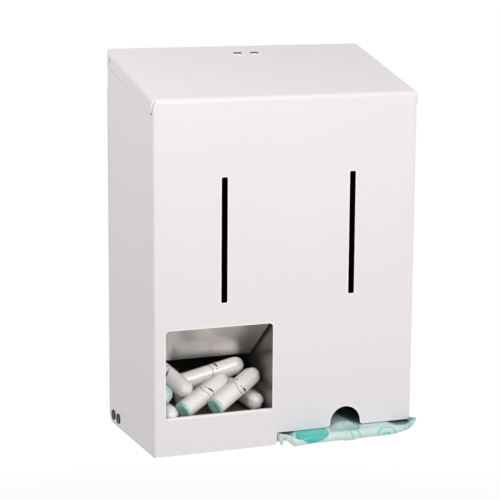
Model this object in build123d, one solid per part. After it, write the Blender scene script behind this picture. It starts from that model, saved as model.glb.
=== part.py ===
from build123d import *
import os
from math import atan2, cos, degrees, radians, sin

# A wall dispenser for wrapped tampons and pads, folded from sheet steel. The hood carries the bins and
# their stock, and tips forward on two pivot pins at the foot of the wall plate. A two-pronged key pressed
# through the slots in its top pushes down the sprung latch that holds it shut.
#
# All lengths are in millimetres. X runs to the right of someone who faces the dispenser, Y runs into the
# wall and Z up. The pieces are drawn with Y at zero on the wall and Z at zero on the hood's lower edge.
# The last section moves them all, so that the origin is the centre of the four wall holes.

# Hood
hood_width = 216.0
hood_depth = 113.5
back_height = 301.0
front_height = 271.0
hood_sheet = 1.0
hood_bend = 3.5  # outside radius of its corners and brow
lip_bend = 2.0  # outside radius of the narrower folds
wall_gap = 0.5  # between the hood's rear edges and the wall
heel_radius = 8.0  # lower rear corners of the sides, which swing past the wall
overrun = 5.0  # how far a cut runs past the sheet

# Flanges of the hood's top, folded down outside the sides
flange_drop = 11.5
flange_corner = 4.0
flange_bend = 3.2
relief_setback = 0.4  # the corner relief's upper end behind the front face
relief_width = 0.8
relief_length = 11.3
relief_radius = 0.9

# Key slots in the top
key_centre = 2.4
key_pitch = 14.3
key_width = 6.9
key_depth = 4.4
key_corner = 1.2
key_back = 18.0

# Viewing windows in the front
window_pitch = 105.4
window_shift = 0.7
window_width = 5.0
window_bottom = 116.0
window_height = 96.0
window_corner = 1.0

# Tampon opening in the front, with a folded lip along its lower edge
bay_margin = 9.0
bay_gap = 1.3  # from the opening to the divider
bay_bottom = 29.5
bay_height = 67.8
bay_corner = 3.0
bay_foot_corner = 1.5
lip_depth = 3.0

# Pad slot, cut up from the front's lower edge and round its right corner, with a thumb notch
slot_start = 2.1  # to the right of the divider
slot_rise = 9.8
slot_wrap = 14.0
slot_corner = 3.0
notch_radius = 13.0
notch_height = 15.7
notch_flare = 2.4

# Wall plate, a shallow pan with an ear at each lower corner
plate_sheet = 1.2
plate_bend = 1.8
plate_gap = 0.8  # between the pan's sides and the hood's
plate_foot = 2.0  # the pan's lower edge above the hood's
plate_head = 3.0  # the pan's upper edge above the latch bracket
plate_depth = 10.0
ear_depth = 38.0
ear_height = 30.0
ear_corner = 7.0
wall_pitch_x = 150.0
wall_pitch_z = 200.0
wall_hole_radius = 2.75
pattern_height = 160.0

# Pivot pins and stop pins
pivot_back = 24.0
pivot_rise = 7.2
stop_reach = 12.5  # from the pivot back to the stop pin
tip_angle = 75.0
pin_radius = 2.0
running_gap = 0.05
seat_gap = 0.02
stop_gap = 0.3
head_radius = 4.25
head_height = 0.9
head_edge = 0.3
dimple_radius = 2.3
dimple_depth = 0.4
tail_radius = 3.2
tail_height = 1.2
tail_gap = 0.4
washer_radius = 5.0
washer_play = 0.05

# Rivets that join the top's flanges to the sides
rivet_back = 10.0
rivet_head_radius = 3.0
rivet_head_height = 1.0
rivet_shank_radius = 1.6
rivet_tail_radius = 2.4
rivet_tail_height = 0.6
rivet_dimple_radius = 0.7

# Bins, folded from thinner sheet
bin_sheet = 0.8
bin_bend = 1.2
touch_gap = 0.3
weld_flange = 10.0
tampon_bin_width = 93.3
divider_foot = 2.0
divider_back = 4.0
divider_heel_depth = 34.0
divider_heel_rise = 24.0
well_depth = 38.0  # clears the latch at the divider's upper rear corner
well_gap = 5.0  # below the latch bracket
corner_clip = 1.6

# Tampon tray
tray_floor = 22.5
ear_gap = 0.4  # between an ear and the tray
tray_wall = 18.0
tray_back = 4.0

# Baffle between the hopper and the tray
baffle_rise = 2.0  # its fold above the opening's upper edge
baffle_reach = 45.5  # from the front's inner face to the baffle's lower edge
baffle_low = 63.0
baffle_flange = 8.0

# Pad shelf and the back of the pad bin
shelf_foot = 1.0
magazine_back_depth = 36.0  # from the wall to the pad bin
shelf_setback = 5.5  # from the hood's front
shelf_lip = 12.0
shelf_tab_setback = 15.5
shelf_tab_length = 36.0
shelf_side_gap = 3.0
pad_back_gap = 3.5
magazine_top = 205.0
magazine_foot_width_gap = 6.0
magazine_shoulder = 44.0

# Latch
latch_pin_back = 8.0
latch_drop = 10.6  # the pin below the hood's top, as it is over the hook
latch_pin_radius = 1.5
latch_pin_head = 2.4
latch_pin_head_height = 0.8
latch_sheet = 1.0
latch_width = 30.0
latch_hook_back = 24.1
latch_hook_rise = 4.0
latch_ramp_back = 31.0
latch_ramp_drop = 0.6
latch_bend = 0.5
bracket_gap = 0.5
bracket_sheet = 1.2
bracket_reach = 13.0
bracket_drop = 21.0  # the bracket's foot below the pin
cheek_drop = 7.0
bracket_rise = 4.0  # its top above the pin
bridge_depth = 3.0
bracket_corner = 3.0
latch_rivet_pitch = 18.0
latch_rivet_rise = 5.0  # above the bracket's foot
latch_rivet_radius = 1.6
latch_rivet_head_radius = 2.8
latch_rivet_head_height = 0.9
spring_width = 11.0
spring_thick = 0.4
spring_bend = 4.0
spring_drop = 9.0  # the spring's bend below the pin
spring_tip_back = 16.0
spring_tail_back = 20.0
spring_tail_drop = 1.2
catch_gap = 0.3
catch_width = 28.0
catch_rise = 3.2  # the strip's lower edge above the pin
catch_foot_depth = 11.0

# Wrapped tampons
tampon_length = 52.0
tampon_radius = 7.3
tampon_edge = 1.3
tampon_recess_radius = 2.4
tampon_recess_depth = 1.0

# Where the centre of each tampon's blunt end lies, as shares of the tampon's diameter to the right of the
# tray's left wall, behind the front sheet and above the tray's floor. Then come two angles in degrees: the
# heading of its domed end, counted from X towards Y, and its tilt above level.
tampon_places_shares = [
    (2.32, 3.08, 1.50, -3.0, 13.5),
    (1.48, 0.68, 0.58, 26.0, 20.5),
    (3.22, 0.50, 0.69, 25.5, 22.5),
    (5.88, 4.52, 0.52, 270.0, 1.0),
    (0.71, 4.38, 2.77, 298.5, -25.5),
    (0.52, 0.79, 1.53, 90.0, 0.0),
    (0.63, 3.71, 0.51, 272.5, 0.0),
    (4.64, 5.24, 0.52, 180.0, 0.0),
    (4.10, 6.26, 0.52, 180.0, 0.0),
    (2.10, 3.66, 0.51, -13.0, 11.0),
]

# Wrapped pad, lying on the shelf with its front drawn out under the raised edge
pad_out = 15.0
pad_left_margin = 10.6  # from the slot's left end to the body's
pad_right_margin = 16.5
crimp_gap = 0.4
pad_thick = 7.2
pad_lift = 0.3
pad_edge = 2.8
pad_crown = 0.9
crimp_thick = 1.2
crimp_rise = 1.8
crimp_lift = 1.5

# Worked out from the sizes above
half_width = hood_width / 2
slope = atan2(back_height - front_height, hood_depth)
sheet_drop = hood_sheet / cos(slope)
inner_half = half_width - hood_sheet
front_inner = -(hood_depth - hood_sheet)
plate_half = inner_half - plate_gap
ear_inner = plate_half - plate_sheet
tray_left = ear_gap + bin_sheet - ear_inner
divider_left = tray_left + tampon_bin_width
divider_right = divider_left + bin_sheet
bay_left = bay_margin - half_width
bay_right = divider_left - bay_gap
bay_middle = (bay_left + bay_right) / 2
bay_width = bay_right - bay_left
bay_top = bay_bottom + bay_height
slot_left = divider_right + slot_start
slot_width = half_width - slot_left
notch_centre = slot_left + slot_width / 2
shelf_top = shelf_foot + bin_sheet
shelf_right = inner_half - shelf_side_gap
shelf_front = shelf_setback - hood_depth
shelf_tab_front = shelf_tab_setback - hood_depth
shelf_tab_back = shelf_tab_front + shelf_tab_length
pad_front = -(hood_depth + pad_out)
pad_left = slot_left + pad_left_margin
pad_right = half_width - pad_right_margin
crimp_left = slot_left + crimp_gap
crimp_right = ear_inner - crimp_gap
magazine_front = -magazine_back_depth
pad_depth = magazine_front - pad_back_gap - pad_front
tampon_diameter = 2 * tampon_radius


def top_at(y):
    """Height of the hood's top at depth y."""
    return back_height + y * (back_height - front_height) / hood_depth


def inner_top(y):
    """Height of the underside of the hood's top at depth y."""
    return top_at(y) - sheet_drop


latch_pin_height = inner_top(-latch_hook_back) - latch_drop
bracket_foot = latch_pin_height - bracket_drop
bracket_top = latch_pin_height + bracket_rise
latch_rivet_height = bracket_foot + latch_rivet_rise
plate_top = bracket_top + plate_head


def block(x_span, y_span, z_span):
    """A straight-sided solid between two values of each coordinate."""
    low = [min(span) for span in (x_span, y_span, z_span)]
    size = [abs(span[1] - span[0]) for span in (x_span, y_span, z_span)]
    return Pos(*low) * Box(*size, align=(Align.MIN, Align.MIN, Align.MIN))


def slab(points, x_low, x_high):
    """A side-view outline of (y, z) points, carried across from x_low to x_high."""
    return extrude(Plane.YZ.offset(x_low) * make_face(Polyline(*points, close=True)), amount=x_high - x_low)


def rod(x_low, x_high, y, z, radius):
    """A round bar along X."""
    return extrude(Plane.YZ.offset(x_low) * (Pos(y, z) * Circle(radius)), amount=x_high - x_low)


def bent_sheet(points, bend, thickness, x_low, x_high):
    """A sheet folded along X: its side view follows (y, z) points and lies to the left of them."""
    path = FilletPolyline(*points, radius=bend)
    outline = make_face(offset(path, amount=thickness, side=Side.LEFT))
    return extrude(Plane.YZ.offset(x_low) * outline, amount=x_high - x_low)


def front_cut(sketch):
    """A sketch in (x, z) carried through the front sheet."""
    return extrude(Plane.XZ.offset(hood_depth) * sketch, amount=hood_sheet + hood_bend, both=True)


def with_mirror(shape):
    """The piece and its mirror image on the other side."""
    return shape + mirror(shape, about=Plane.YZ)


def hood_block(inset, gap):
    """The hood's outer form, or the hollow inside it when inset is the sheet's thickness."""
    front = -(hood_depth - inset)
    drop = inset / cos(slope)
    low = -gap
    rear = gap if inset else -wall_gap
    half = half_width - inset
    form = slab(
        [(rear, low), (rear, top_at(rear) - drop), (front, top_at(front) - drop), (front, low)], -half, half
    )
    corners = form.edges().filter_by(Axis.Z).sort_by(Axis.Y)[:2]
    brow = form.edges().filter_by(Axis.X).sort_by(Axis.Y)[:2].sort_by(Axis.Z)[-1]
    return fillet([*corners, brow], hood_bend - inset)


def make_flange():
    """The right flange of the top, outside the side, with its front end square to the slope."""
    front = relief_setback + relief_width - hood_depth
    depth = flange_drop / cos(slope)
    return slab(
        [
            (-wall_gap, top_at(-wall_gap) - depth),
            (-wall_gap, top_at(-wall_gap)),
            (front, top_at(front)),
            (front + flange_drop * sin(slope), top_at(front) - flange_drop * cos(slope)),
        ],
        inner_half,
        half_width + hood_sheet,
    )


def make_flange_round():
    """What rounds the bend between the top and its right flange, as far forward as the relief."""
    ridge = Rectangle(flange_bend, flange_bend, align=Align.MAX) - (
        Pos(-flange_bend, -flange_bend) * Circle(flange_bend)
    )
    start = (half_width + hood_sheet, -wall_gap, top_at(-wall_gap))
    ahead = Plane(origin=start, x_dir=(1, 0, 0), z_dir=(0, -cos(slope), -sin(slope)))
    run = (hood_depth - relief_setback - wall_gap) / cos(slope)
    return extrude(ahead * ridge, amount=run)


def make_flange_corner_cut():
    """What rounds the flanges' rear corners, seen from the side and from above."""
    side = Rectangle(flange_corner, flange_corner, align=Align.MAX) - (
        Pos(-flange_corner, -flange_corner) * Circle(flange_corner)
    )
    rear = -wall_gap
    from_side = extrude(
        Plane.YZ.offset(inner_half) * (Pos(rear, top_at(rear)) * side), amount=hood_sheet + overrun
    )
    from_above = extrude(
        Plane.XY.offset(front_height) * (Pos(half_width + hood_sheet, rear) * side),
        amount=back_height,
    )
    return from_side + from_above


def make_relief_cut():
    """The slot and round hole between a flange's front end and the front's bend."""
    left, right = inner_half - hood_sheet, half_width + overrun
    start = relief_setback + relief_width - hood_depth
    end = start + relief_length * sin(slope)
    high, low = top_at(start), top_at(start) - relief_length * cos(slope)
    outline = [(start, high), (end, low), (end - relief_width, low), (start - relief_width, high)]
    slit = slab(outline, left, right)
    return slit + rod(left, right, end, low, relief_radius)


def make_key_cut():
    """The two key slots, each with round corners towards the wall."""
    normal = (0, -sin(slope), cos(slope))
    cut = Sketch() + Rectangle(key_width, key_depth)
    cut = fillet(cut.vertices().group_by(Axis.Y)[-1], key_corner)
    cuts = []
    for side in (-1, 1):
        place = (key_centre + side * key_pitch / 2, -key_back, top_at(-key_back))
        face = Plane(origin=place, x_dir=(1, 0, 0), z_dir=normal)
        cuts.append(extrude(face * cut, amount=hood_sheet + hood_bend, both=True))
    return cuts


def make_slot_cut():
    """The pad slot in the front's lower edge, with the thumb notch above it."""
    straight = notch_height - notch_radius
    sketch = Pos(slot_left, -overrun) * Rectangle(
        slot_width + overrun, slot_rise + overrun, align=Align.MIN
    )
    sketch += Pos(notch_centre, slot_rise) * Rectangle(
        2 * notch_radius, straight, align=(Align.CENTER, Align.MIN)
    )
    sketch += Pos(notch_centre, slot_rise + straight) * Circle(notch_radius)
    inner = sketch.vertices().filter_by(
        lambda v: abs(v.Y - slot_rise) < seat_gap and abs(abs(v.X - notch_centre) - notch_radius) < seat_gap
    )
    sketch = fillet(inner, notch_flare)
    sketch += Pos(slot_left - slot_corner, 0) * (
        Rectangle(slot_corner, slot_corner, align=Align.MIN)
        - Pos(0, slot_corner) * Circle(slot_corner)
    )
    return sketch


def make_wrap_cut():
    """The slot carried round the front's right corner into the side."""
    sketch = Pos(-hood_depth - overrun, -overrun) * Rectangle(
        slot_wrap + overrun, slot_rise + overrun, align=Align.MIN
    )
    sketch = fillet(sketch.vertices().sort_by(Axis.X)[-2:].sort_by(Axis.Y)[-1], slot_corner)
    return extrude(Plane.YZ.offset(inner_half - hood_bend) * sketch, amount=hood_bend + overrun)


def make_lip():
    """The strip along the opening's lower edge, folded in over the tray."""
    low = bay_bottom - lip_bend
    face = -hood_depth
    return bent_sheet(
        [(face + lip_depth, bay_bottom), (face, bay_bottom), (face, low - lip_bend)],
        lip_bend,
        hood_sheet,
        bay_left + bay_foot_corner,
        bay_right - bay_foot_corner,
    )


def make_hood():
    """Front, sides and sloping top, folded from one sheet, open behind and below."""
    hood = hood_block(0, 0) - hood_block(hood_sheet, overrun)
    heel = Rectangle(heel_radius, heel_radius, align=(Align.MAX, Align.MIN)) - (
        Pos(-heel_radius, heel_radius) * Circle(heel_radius)
    )
    hood -= extrude(Plane.YZ * (Pos(-wall_gap, 0) * heel), amount=hood_width, both=True)
    hood += with_mirror(make_flange())
    hood -= with_mirror(make_flange_round())
    hood -= with_mirror(make_flange_corner_cut() + make_relief_cut())
    for cut in make_key_cut():
        hood -= cut
    for side in (-1, 1):
        middle = window_shift + side * window_pitch / 2
        window = RectangleRounded(window_width, window_height, window_corner)
        hood -= front_cut(Pos(middle, window_bottom + window_height / 2) * window)
    bay = Pos(bay_middle, bay_bottom) * Rectangle(
        bay_width, bay_height, align=(Align.CENTER, Align.MIN)
    )
    bay = fillet(bay.vertices().group_by(Axis.Y)[-1], bay_corner)
    bay = fillet(bay.vertices().group_by(Axis.Y)[0], bay_foot_corner)
    hood -= front_cut(bay)
    edge = Pos(bay_middle, bay_bottom - lip_bend / 2) * Rectangle(
        bay_width - 2 * bay_foot_corner, lip_bend
    )
    hood -= front_cut(edge)
    hood += make_lip()
    hood -= front_cut(make_slot_cut())
    hood -= make_wrap_cut()
    for back in (pivot_back, pivot_back - stop_reach):
        hood -= rod(-hood_width, hood_width, -back, pivot_rise, pin_radius + seat_gap)
    rivet_height = top_at(-rivet_back) - flange_drop / cos(slope) / 2
    hood -= rod(-hood_width, hood_width, -rivet_back, rivet_height, rivet_shank_radius + seat_gap)
    return hood


def make_stop_slot():
    """The curved slot in an ear, in which the stop pin travels."""
    arc = CenterArc((0, 0), stop_reach, 0, tip_angle)
    sketch = Pos(-pivot_back, pivot_rise) * SlotArc(arc, 2 * (pin_radius + stop_gap))
    return extrude(Plane.YZ * sketch, amount=hood_width, both=True)


def make_back_plate():
    """The wall plate: a pan whose lower side flanges grow into the hinge's ears."""
    pan = block((-plate_half, plate_half), (-plate_depth, 0), (plate_foot, plate_top))
    rear = pan.edges().group_by(Axis.Y)[-1]
    pan = fillet(rear, plate_bend)
    hollow = block(
        (-ear_inner, ear_inner),
        (-plate_depth - overrun, -plate_sheet),
        (plate_foot + plate_sheet, plate_top - plate_sheet),
    )
    pan -= fillet(hollow.edges().group_by(Axis.Y)[-1], plate_bend - plate_sheet)
    ear = Pos(-plate_bend, plate_foot) * Rectangle(
        ear_depth - plate_bend, ear_height - plate_foot, align=(Align.MAX, Align.MIN)
    )
    ear = fillet(ear.vertices().group_by(Axis.X)[0], ear_corner)
    ear = extrude(Plane.YZ.offset(ear_inner) * ear, amount=plate_sheet)
    plate = pan + with_mirror(ear) - make_stop_slot()
    plate -= rod(-hood_width, hood_width, -pivot_back, pivot_rise, pin_radius + running_gap)
    for x in (-wall_pitch_x / 2, wall_pitch_x / 2):
        for z in (pattern_height - wall_pitch_z / 2, pattern_height + wall_pitch_z / 2):
            hole = Plane.XZ * (Pos(x, z) * Circle(wall_hole_radius))
            plate -= extrude(hole, amount=plate_sheet + overrun, both=True)
    for side in (-1, 1):
        x = key_centre + side * latch_rivet_pitch / 2
        hole = Plane.XZ * (Pos(x, latch_rivet_height) * Circle(latch_rivet_radius + seat_gap))
        plate -= extrude(hole, amount=plate_sheet + overrun, both=True)
    return plate


def make_pin(back):
    """A pin through the hood's side, its washer and the ear, with a dimpled head outside."""
    inside = ear_inner - tail_gap
    head = rod(half_width, half_width + head_height, -back, pivot_rise, head_radius)
    head = chamfer(head.edges().sort_by(Axis.X)[-1], head_edge)
    head -= rod(
        half_width + head_height - dimple_depth, half_width + overrun, -back, pivot_rise, dimple_radius
    )
    shank = rod(inside, half_width, -back, pivot_rise, pin_radius)
    tail = rod(inside - tail_height, inside, -back, pivot_rise, tail_radius)
    return head + shank + tail


def make_washer(back):
    """A plain washer between the hood's side and the ear."""
    low, high = plate_half + washer_play, inner_half - washer_play
    ring = rod(low, high, -back, pivot_rise, washer_radius)
    return ring - rod(low - overrun, high + overrun, -back, pivot_rise, pin_radius + seat_gap)


def make_flange_rivet():
    """A domed blind rivet through the top's flange and the side."""
    y, z = -rivet_back, top_at(-rivet_back) - flange_drop / cos(slope) / 2
    outer = half_width + hood_sheet
    dome_radius = (rivet_head_radius**2 + rivet_head_height**2) / (2 * rivet_head_height)
    ball = Pos(outer + rivet_head_height - dome_radius, y, z) * Sphere(dome_radius)
    head = ball & rod(outer, outer + dome_radius, y, z, rivet_head_radius)
    head -= rod(outer + rivet_head_height / 2, outer + overrun, y, z, rivet_dimple_radius)
    shank = rod(inner_half, outer, y, z, rivet_shank_radius)
    tail = rod(inner_half - rivet_tail_height, inner_half, y, z, rivet_tail_radius)
    return head + shank + tail


def make_divider():
    """The wall between the two bins, with flanges welded to the front and to the top."""
    front, rear = front_inner, -divider_back
    web = slab(
        [
            (front, divider_foot),
            (-divider_heel_depth, divider_foot),
            (rear, divider_heel_rise),
            (rear, bracket_foot - well_gap),
            (-well_depth, bracket_foot - well_gap),
            (-well_depth, inner_top(-well_depth)),
            (front + corner_clip, inner_top(front + corner_clip)),
            (front, inner_top(front) - corner_clip),
        ],
        divider_left,
        divider_right,
    )
    web += block(
        (divider_right, divider_right + weld_flange),
        (front, front + bin_sheet),
        (notch_height + slot_rise, inner_top(front) - 2 * corner_clip),
    )
    drop = bin_sheet / cos(slope)
    near, far = front + 2 * corner_clip, -well_depth
    web += slab(
        [
            (near, inner_top(near) - drop),
            (near, inner_top(near)),
            (far, inner_top(far)),
            (far, inner_top(far) - drop),
        ],
        divider_right,
        divider_right + weld_flange,
    )
    return web


def make_tray():
    """The tampon tray: its front and rear edges and its left side are turned up, its right side down."""
    low = tray_floor - bin_sheet
    front, rear = front_inner, -tray_back
    front_top = bay_bottom - lip_bend - touch_gap
    floor = bent_sheet(
        [(front, front_top), (front, low), (rear, low), (rear, low + tray_wall)],
        bin_bend,
        bin_sheet,
        tray_left,
        divider_left,
    )
    side = block(
        (tray_left - bin_sheet, tray_left),
        (front + hood_bend, rear),
        (low, low + tray_wall),
    )
    apron = block(
        (divider_left - bin_sheet, divider_left),
        (front + bin_bend, rear - bin_bend),
        (low - weld_flange, low),
    )
    heel = slab(
        [
            (rear + overrun, low - weld_flange - overrun),
            (rear + overrun, low + seat_gap),
            (-divider_heel_depth, low - weld_flange - overrun),
        ],
        divider_left - 2 * bin_sheet,
        divider_left + bin_sheet,
    )
    return floor + side + (apron - heel)


def make_baffle():
    """The sloping baffle under the hopper, with a flange up the front and one up each side."""
    fold = bay_top + baffle_rise
    tip = (front_inner + baffle_reach, baffle_low)
    left, right = hood_bend - hood_sheet - inner_half, divider_left
    sheet = bent_sheet(
        [(front_inner, fold + weld_flange), (front_inner, fold), tip], bin_bend, bin_sheet, left, right
    )
    lean = atan2(fold - baffle_low, baffle_reach)
    rise = baffle_flange / cos(lean)
    near = front_inner + bin_bend
    near_height = fold - bin_bend * (fold - baffle_low) / baffle_reach
    wing = [(near, near_height), (near, near_height + rise), (tip[0], tip[1] + rise), tip]
    return sheet + slab(wing, left, left + bin_sheet) + slab(wing, right - bin_sheet, right)


def make_shelf():
    """The pad shelf, with a flange on the divider, one behind the pads and a tab on the right side."""
    shelf = block((divider_right, shelf_right), (shelf_front, magazine_front), (shelf_foot, shelf_top))
    shelf += block(
        (shelf_right, inner_half), (shelf_tab_front, shelf_tab_back), (shelf_foot, shelf_top)
    )
    shelf += block(
        (inner_half - bin_sheet, inner_half),
        (shelf_tab_front, shelf_tab_back),
        (shelf_foot, shelf_foot + shelf_lip),
    )
    shelf += block(
        (divider_right, divider_right + bin_sheet),
        (shelf_front, magazine_front),
        (shelf_foot, shelf_foot + shelf_lip),
    )
    shelf += block(
        (divider_right, shelf_right - magazine_foot_width_gap),
        (magazine_front - bin_sheet, magazine_front),
        (shelf_foot, shelf_foot + shelf_lip),
    )
    bends = shelf.edges().filter_by(
        lambda edge: abs(edge.center().Z - shelf_foot) < seat_gap
        and (
            abs(edge.center().X - divider_right) < seat_gap
            or abs(edge.center().X - inner_half) < seat_gap
        )
    )
    return fillet(bends, bin_bend / 2)


def make_magazine_back():
    """The rear wall of the pad bin, with a flange on the divider and one on the right side."""
    rear = magazine_front + bin_sheet
    foot_right = shelf_right - magazine_foot_width_gap
    outline = make_face(
        Polyline(
            (divider_right, shelf_foot),
            (foot_right, shelf_foot),
            (foot_right, magazine_shoulder),
            (inner_half, magazine_shoulder + shelf_lip),
            (inner_half, magazine_top),
            (divider_right, magazine_top),
            close=True,
        )
    )
    wall = extrude(Plane.XZ.offset(-rear) * outline, amount=bin_sheet)
    wall += block(
        (divider_right, divider_right + bin_sheet),
        (rear, rear + weld_flange),
        (magazine_shoulder, magazine_top),
    )
    wall += block(
        (inner_half - bin_sheet, inner_half),
        (rear, rear + weld_flange),
        (magazine_shoulder + 2 * shelf_lip, magazine_top),
    )
    return wall


def make_catch_strip():
    """The strip under the top whose hanging lip the latch holds."""
    left, right = key_centre - catch_width / 2, key_centre + catch_width / 2
    lip = -latch_hook_back + latch_sheet + catch_gap
    far = lip - catch_foot_depth
    rear = lip + hood_sheet
    return bent_sheet(
        [(rear, latch_pin_height + catch_rise), (rear, inner_top(rear)), (far, inner_top(far))],
        lip_bend,
        hood_sheet,
        left,
        right,
    )


def make_latch_plate():
    """The latch: a curl round its pin, a flat under the key slots, then a hook with a ramp in front."""
    y, z = -latch_pin_back, latch_pin_height
    bore = latch_pin_radius + running_gap
    curl = bore + latch_sheet
    left, right = key_centre - latch_width / 2, key_centre + latch_width / 2
    flat = z + curl - latch_sheet
    hook = -latch_hook_back
    crest = flat + latch_hook_rise
    tip = (-latch_ramp_back, flat - latch_ramp_drop)
    plate = bent_sheet(
        [tip, (hook, crest), (hook, flat), (y, flat)], latch_bend, latch_sheet, left, right
    )
    barrel = rod(left, right, y, z, curl) - rod(left - overrun, right + overrun, y, z, bore)
    return plate + barrel


def make_latch_bracket():
    """A channel riveted to the wall plate, whose cheeks hold the latch's pin under a stop bridge."""
    inside = latch_width / 2 + bracket_gap
    outside = inside + bracket_sheet
    rear = -plate_sheet
    front = -bracket_reach
    base = block(
        (key_centre - outside, key_centre + outside),
        (rear - bracket_sheet, rear),
        (bracket_foot, bracket_top),
    )
    cheek = Pos(rear - bracket_sheet, latch_pin_height - cheek_drop) * Rectangle(
        rear - bracket_sheet - front, bracket_rise + cheek_drop, align=(Align.MAX, Align.MIN)
    )
    cheek = fillet(cheek.vertices().sort_by(Axis.X)[:2].sort_by(Axis.Y)[0], bracket_corner)
    bracket = base
    for x in (key_centre - outside, key_centre + inside):
        bracket += extrude(Plane.YZ.offset(x) * cheek, amount=bracket_sheet)
    bridge_foot = latch_pin_height + latch_pin_radius + running_gap + latch_sheet + touch_gap
    bracket += block(
        (key_centre - inside, key_centre + inside),
        (front, front + bridge_depth),
        (bridge_foot, bracket_top),
    )
    bracket -= rod(
        key_centre - 2 * outside,
        key_centre + 2 * outside,
        -latch_pin_back,
        latch_pin_height,
        latch_pin_radius + seat_gap,
    )
    for side in (-1, 1):
        x = key_centre + side * latch_rivet_pitch / 2
        hole = Plane.XZ * (Pos(x, latch_rivet_height) * Circle(latch_rivet_radius + seat_gap))
        bracket -= extrude(hole, amount=plate_sheet + bracket_sheet + overrun)
    return bracket


def make_latch_pin():
    """The pin in the bracket's cheeks, with a head at each end."""
    outside = latch_width / 2 + bracket_gap + bracket_sheet
    y, z = -latch_pin_back, latch_pin_height
    pin = rod(key_centre - outside, key_centre + outside, y, z, latch_pin_radius)
    for x in (key_centre - outside - latch_pin_head_height, key_centre + outside):
        pin += rod(x, x + latch_pin_head_height, y, z, latch_pin_head)
    return pin


def make_latch_spring():
    """The leaf spring that pushes the latch up, screwed down under the bracket's rivets."""
    rear = -plate_sheet - bracket_sheet
    under = latch_pin_height + latch_pin_radius + running_gap - touch_gap
    left, right = key_centre - spring_width / 2, key_centre + spring_width / 2
    return bent_sheet(
        [
            (rear, bracket_foot),
            (rear, latch_pin_height - spring_drop),
            (-spring_tip_back, under),
            (-spring_tail_back, under - spring_tail_drop),
        ],
        spring_bend,
        spring_thick,
        left,
        right,
    )


def make_latch_rivet(side):
    """A rivet through the wall plate and the bracket."""
    x, z = key_centre + side * latch_rivet_pitch / 2, latch_rivet_height
    depth = plate_sheet + bracket_sheet
    centre = Pos(x, z)
    shank = extrude(Plane.XZ * (centre * Circle(latch_rivet_radius)), amount=depth)
    head = extrude(
        Plane.XZ.offset(depth) * (centre * Circle(latch_rivet_head_radius)),
        amount=latch_rivet_head_height,
        taper=degrees(slope),
    )
    return shank + head


def make_tampon():
    """A wrapped tampon on its Z axis: a blunt end with a cord recess, and a domed end."""
    arc_start = (tampon_radius, tampon_length - tampon_radius)
    outline = Polyline(
        (0, tampon_recess_depth),
        (tampon_recess_radius, tampon_recess_depth),
        (tampon_recess_radius + tampon_recess_depth / 2, 0),
        (tampon_radius - tampon_edge, 0),
    )
    outline += RadiusArc((tampon_radius - tampon_edge, 0), (tampon_radius, tampon_edge), -tampon_edge)
    outline += Line((tampon_radius, tampon_edge), arc_start)
    outline += RadiusArc(arc_start, (0, tampon_length), -tampon_radius)
    outline += Line((0, tampon_length), (0, tampon_recess_depth))
    return revolve(Plane.XZ * make_face(outline), axis=Axis.Z)


def place_tampon(tampon, place):
    """A tampon moved to one place in the pile."""
    across, behind, above, heading, tilt = place
    corner = (tray_left, front_inner, tray_floor)
    start = [low + share * tampon_diameter for low, share in zip(corner, (across, behind, above))]
    turn, lean = radians(heading), radians(tilt)
    way = (cos(lean) * cos(turn), cos(lean) * sin(turn), sin(lean))
    return Plane(origin=start, z_dir=way).location * tampon


def make_pad():
    """A wrapped pad: a crowned body with a flat crimp at its left and right ends."""
    low = shelf_top + pad_lift
    high = low + pad_thick
    crimp = low + crimp_lift
    middle = (pad_left + pad_right) / 2
    left_root, right_root = pad_left - pad_edge, pad_right + pad_edge
    outline = Line((crimp_left, crimp + crimp_thick), (crimp_left, crimp))
    outline += Line((crimp_left, crimp), (left_root, crimp))
    outline += ThreePointArc((left_root, crimp), (middle, low), (right_root, crimp))
    outline += Line((right_root, crimp), (crimp_right, crimp + crimp_rise))
    outline += Line((crimp_right, crimp + crimp_rise), (crimp_right, crimp + crimp_rise + crimp_thick))
    outline += Line((crimp_right, crimp + crimp_rise + crimp_thick), (right_root, crimp + crimp_thick))
    outline += Line((right_root, crimp + crimp_thick), (pad_right - pad_edge, high - pad_crown))
    outline += ThreePointArc(
        (pad_right - pad_edge, high - pad_crown), (middle, high), (pad_left + pad_edge, high - pad_crown)
    )
    outline += Line((pad_left + pad_edge, high - pad_crown), (left_root, crimp + crimp_thick))
    outline += Line((left_root, crimp + crimp_thick), (crimp_left, crimp + crimp_thick))
    pad = extrude(Plane.XZ.offset(-pad_front) * make_face(outline), amount=-pad_depth)
    side = Pos(pad_front, low) * RectangleRounded(pad_depth, pad_thick, pad_edge, align=Align.MIN)
    return pad & extrude(Plane.YZ.offset(crimp_left) * side, amount=crimp_right - crimp_left)


tampon = make_tampon()
nodes = {
    "back_plate": make_back_plate(),
    "latch_bracket": make_latch_bracket(),
    "latch_pin": make_latch_pin(),
    "latch_spring": make_latch_spring(),
    "latch_rivets": Compound([make_latch_rivet(side) for side in (-1, 1)]),
    "latch_plate": make_latch_plate(),
    "hood": make_hood(),
    "catch_strip": make_catch_strip(),
    "divider": make_divider(),
    "tampon_tray": make_tray(),
    "hopper_baffle": make_baffle(),
    "pad_shelf": make_shelf(),
    "magazine_back": make_magazine_back(),
    "front_pad": make_pad(),
}
for number, place in enumerate(tampon_places_shares, start=1):
    nodes[f"tampon_{number:02d}"] = place_tampon(tampon, place)

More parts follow.
